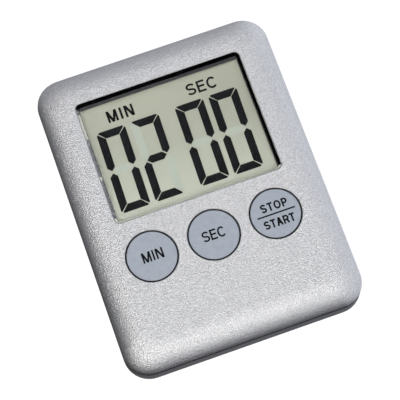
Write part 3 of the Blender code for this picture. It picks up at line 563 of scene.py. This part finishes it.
def add_legends(material):
    """What is printed on the keys."""
    for key, text, dx, dy, cap_height, width in (
        ("min", "MIN", 0.25, 0.1, 2.85, 5.7),
        ("sec", "SEC", 0.0, 0.1, 2.88, 6.35),
        ("start_stop", "STOP", 0.25, 2.12, 2.35, 7.3),
        ("start_stop", "START", 0.2, -2.42, 2.3, 8.4),
    ):
        low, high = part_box(key + "_key")
        x = (low.x + high.x) / 2 + dx * MM
        y = (low.y + high.y) / 2 + dy * MM
        place = Vector((x, y, high.z + INK_THICKNESS / 2))
        name = "legend_" + text.lower()
        add_text(name, text, place, cap_height * MM, width * MM, LEGEND_STROKE, material, key + "_key")
    low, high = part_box("start_stop_key")
    x = (low.x + high.x) / 2 + LEGEND_BAR_OFFSET
    y = (low.y + high.y) / 2
    z = high.z + INK_THICKNESS / 2
    half, thick = LEGEND_BAR_HALF
    work = bmesh.new()
    prism(work, bar(x - half, y - thick, x + half, y + thick), z, z + INK_THICKNESS)
    add_piece("legend_bar", mesh_from(work, "legend_bar"), material, "start_stop_key")


def add_display_labels(material):
    """The words above the digits on the display."""
    z = DISPLAY_HIGH.z + INK_THICKNESS / 2
    for text, x, stroke, width, broad in (("MIN", -12.1, 0.62, 7.4, 1.04), ("SEC", 10.95, 0.57, 8.6, 1.13)):
        place = Vector((x * MM, LABEL_Y, z))
        name = "label_" + text.lower()
        add_text(
            name, text, place, LABEL_HEIGHT, width * MM, stroke * MM, material, "case", broad
        )


def add_cap_marks(material):
    """A plus and a pointer printed on the outer face of the battery cap."""
    low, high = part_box("battery_cap")
    x, y = (low.x + high.x) / 2, (low.y + high.y) / 2
    plus_y, arm, thick = y + 3.7 * MM, 1.2 * MM, 0.24 * MM
    base, tip, side = y - 4.4 * MM, y - 6.0 * MM, 0.9 * MM
    outlines = [
        bar(x - arm, plus_y - thick, x + arm, plus_y + thick),
        bar(x - thick, plus_y + thick, x + thick, plus_y + arm),
        bar(x - thick, plus_y - arm, x + thick, plus_y - thick),
        [(x - side, base), (x + side, base), (x, tip)],
    ]
    work = bmesh.new()
    z = low.z - INK_THICKNESS / 2
    for outline in outlines:
        prism(work, outline, z - INK_THICKNESS, z)
    add_piece("cap_marks", mesh_from(work, "cap_marks"), material, "battery_cap")


# ---------------------------------------------------------------- stage

def add_camera():
    """A long lens above the timer, turned so that the timer leans to the left."""
    data = bpy.data.cameras.new("camera")
    data.lens = FOCAL_LENGTH
    data.clip_start = 0.01
    camera = bpy.data.objects.new("camera", data)
    bpy.context.scene.collection.objects.link(camera)
    forward = (CAMERA_AIM - CAMERA_PLACE).normalized()
    right = forward.cross(Vector((0, 1, 0))).normalized()
    up = right.cross(forward)
    level = Matrix((right, up, -forward)).transposed()
    camera.matrix_world = (
        Matrix.Translation(CAMERA_PLACE)
        @ level.to_4x4()
        @ Matrix.Rotation(CAMERA_ROLL, 4, "Z")
    )
    bpy.context.scene.camera = camera


def add_floor():
    """A pale sheet under the timer. What is below it shows faintly from above, and the
    sheet can't be seen from below."""
    work = bmesh.new()
    bmesh.ops.create_grid(work, x_segments=1, y_segments=1, size=3.0)
    floor = bpy.data.objects.new("floor", mesh_from(work, "floor"))
    floor.location.z = CASE_LOW.z - 0.05 * MM
    bpy.context.scene.collection.objects.link(floor)
    f = Finish("pale_floor", (0.9, 0.9, 0.9), 0.9)
    f.set("Emission Color", (1.0, 1.0, 1.0, 1.0))
    f.set("Emission Strength", 0.9)
    side = f.tree.nodes.new("ShaderNodeNewGeometry").outputs["Backfacing"]
    f.feed("Alpha", f.ramp(side, (0.0, 0.12), (1.0, 0.0)))
    floor.data.materials.append(f.material)
    floor.visible_diffuse = False
    floor.visible_glossy = False


def add_light(name, place, aim, size, power):
    """A rectangular soft light."""
    data = bpy.data.lights.new(name, "AREA")
    data.shape = "RECTANGLE"
    data.size, data.size_y = size
    data.energy = power
    light = bpy.data.objects.new(name, data)
    light.location = place
    light.rotation_euler = (Vector(aim) - Vector(place)).to_track_quat("-Z", "Y").to_euler()
    bpy.context.scene.collection.objects.link(light)


class Sky:
    """Node calls for the world that lights the timer."""

    def __init__(self, tree):
        self.tree = tree

    def link(self, value, socket):
        """Feeds a socket with an output or a plain number."""
        if isinstance(value, bpy.types.NodeSocket):
            self.tree.links.new(value, socket)
        else:
            socket.default_value = value

    def math(self, operation, first, second):
        """One sum of two outputs or numbers."""
        node = self.tree.nodes.new("ShaderNodeMath")
        node.operation = operation
        self.link(first, node.inputs[0])
        self.link(second, node.inputs[1])
        return node.outputs[0]

    def span(self, value, low, high, from_low=0.0, from_high=1.0):
        """Maps a value smoothly from one span to another and holds it at the ends."""
        node = self.tree.nodes.new("ShaderNodeMapRange")
        node.interpolation_type = "SMOOTHSTEP"
        for index, item in enumerate((value, from_low, from_high, low, high)):
            self.link(item, node.inputs[index])
        return node.outputs[0]

    def towards(self, direction, coords):
        """1 straight towards a direction, and less away from it."""
        node = self.tree.nodes.new("ShaderNodeVectorMath")
        node.operation = "DOT_PRODUCT"
        self.tree.links.new(coords, node.inputs[0])
        node.inputs[1].default_value = Vector(direction).normalized()
        return node.outputs["Value"]

    def shade(self, strength, colour):
        """A background of a colour at a given strength."""
        node = self.tree.nodes.new("ShaderNodeBackground")
        node.inputs["Color"].default_value = (*colour, 1.0)
        self.link(strength, node.inputs["Strength"])
        return node.outputs[0]


def add_world():
    """A studio that is white behind the timer. Its light comes from above and the right,
    is dim along the floor on the left, and leaves a dark patch for the window to mirror."""
    world = bpy.data.worlds.new("studio")
    bpy.context.scene.world = world
    world.use_nodes = True
    tree = world.node_tree
    sky = Sky(tree)
    coords = tree.nodes.new("ShaderNodeTexCoord").outputs["Generated"]
    split = tree.nodes.new("ShaderNodeSeparateXYZ")
    tree.links.new(coords, split.inputs[0])
    x, y, z = split.outputs
    box = sky.math("MULTIPLY", sky.span(y, *BOX_FRONT), sky.span(y, *BOX_BACK))
    box = sky.math("MULTIPLY", box, sky.math("MULTIPLY", sky.span(x, *BOX_LEFT), sky.span(x, *BOX_RIGHT)))
    box = sky.math("MULTIPLY", box, sky.span(z, 0.0, BOX_POWER, 0.05, 0.35))
    around = sky.math("MULTIPLY", sky.span(x, *LEFT_SHADE), sky.span(z, *FLOOR_SHADE))
    around = sky.math("MULTIPLY", around, AROUND)
    around = sky.math("ADD", around, sky.math("ADD", sky.span(x, *RIGHT_SIDE), sky.span(y, *BACK_SIDE)))
    below = sky.math("MULTIPLY", sky.span(x, *BELOW_RIGHT), sky.span(y, *BELOW_BACK))
    around = sky.math("ADD", around, sky.math("MULTIPLY", below, sky.span(z, *BELOW)))
    patch = sky.span(sky.towards(DARK_PATCH, coords), 1.0, DARK_PATCH_LIGHT, *DARK_PATCH_EDGE)
    lighting = tree.nodes.new("ShaderNodeAddShader")
    tree.links.new(sky.shade(sky.math("MULTIPLY", box, patch), BOX_TINT), lighting.inputs[0])
    tree.links.new(sky.shade(sky.math("MULTIPLY", around, patch), AROUND_TINT), lighting.inputs[1])
    seen = sky.shade(1.0, (1.0, 1.0, 1.0))
    choose = tree.nodes.new("ShaderNodeMixShader")
    path = tree.nodes.new("ShaderNodeLightPath")
    tree.links.new(path.outputs["Is Camera Ray"], choose.inputs[0])
    tree.links.new(lighting.outputs[0], choose.inputs[1])
    tree.links.new(seen, choose.inputs[2])
    tree.links.new(choose.outputs[0], tree.nodes["World Output"].inputs["Surface"])


# ---------------------------------------------------------------- build

add_camera()
add_world()
add_floor()
add_light("front_soft", (-0.10, -0.50, 1.0), (0, 0, 0), (0.5, 0.4), 1.5)
bpy.context.scene.view_settings.view_transform = "Standard"

screws = [f"{kind}_screw_{i}" for kind in ("case", "board") for i in range(1, 5)]
pills = [key + "_pill" for key in KEYS]

dress(silver_paint(), "front_shell")
# the rear shell's ledge in the joint is painted black as shade
dress(moulded_plastic("grey_plastic", (0.15, 0.15, 0.158), groove_shade=True), "rear_shell")
dress(moulded_plastic("grey_plastic_flap", (0.15, 0.15, 0.158)), "kickstand", "battery_cap")
dress(key_plastic(), *[key + "_key" for key in KEYS])
dress(clear_window(), "window_lens")
dress(display_film(), "front_polariser", "reflector")
dress(clear_glass("display_glass"), "front_glass", "rear_glass")
dress(
    moulded_plastic("black_plastic", (0.03, 0.03, 0.033), 1500, 0.5),
    "display_holder", "chip_blob", "buzzer_transistor", "chip_resistor_1", "chip_resistor_2",
)
dress(moulded_plastic("silicone", (0.42, 0.44, 0.47), 1200, 0.65), "keypad", "contact_strip")
dress(moulded_plastic("carbon", (0.015, 0.015, 0.015), 1800, 0.8), *pills, "buzzer_coil")
dress(moulded_plastic("board_green", (0.03, 0.16, 0.06), 500, 0.4), "circuit_board")
dress(brushed_metal("steel", (0.55, 0.55, 0.55)), "button_cell", *screws)
dress(
    brushed_metal("nickel", (0.66, 0.64, 0.60), 0.25),
    "positive_contact", "negative_contact", "magnet_left", "magnet_right", "crystal_can",
)
dress(brushed_metal("brass", (0.75, 0.55, 0.20)), "buzzer_plate")
dress(
    moulded_plastic("ceramic", (0.62, 0.58, 0.50), 1500, 0.6),
    "buzzer_ceramic", "chip_capacitor_1", "chip_capacitor_2",
)
dress(ink("red_wire", (0.45, 0.02, 0.02)), "buzzer_wire_red")
dress(ink("black_wire", (0.012, 0.012, 0.012)), "buzzer_wire_black")
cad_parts["window_lens"].visible_shadow = False

add_digits(ink("digit_ink", (0.007, 0.007, 0.008)), ink("ghost_ink", (0.50, 0.53, 0.455), unevenness=0.05))
add_display_labels(bpy.data.materials["digit_ink"])
add_legends(ink("legend_ink", (0.006, 0.006, 0.008)))
add_cap_marks(ink("mark_ink", (0.42, 0.42, 0.43)))
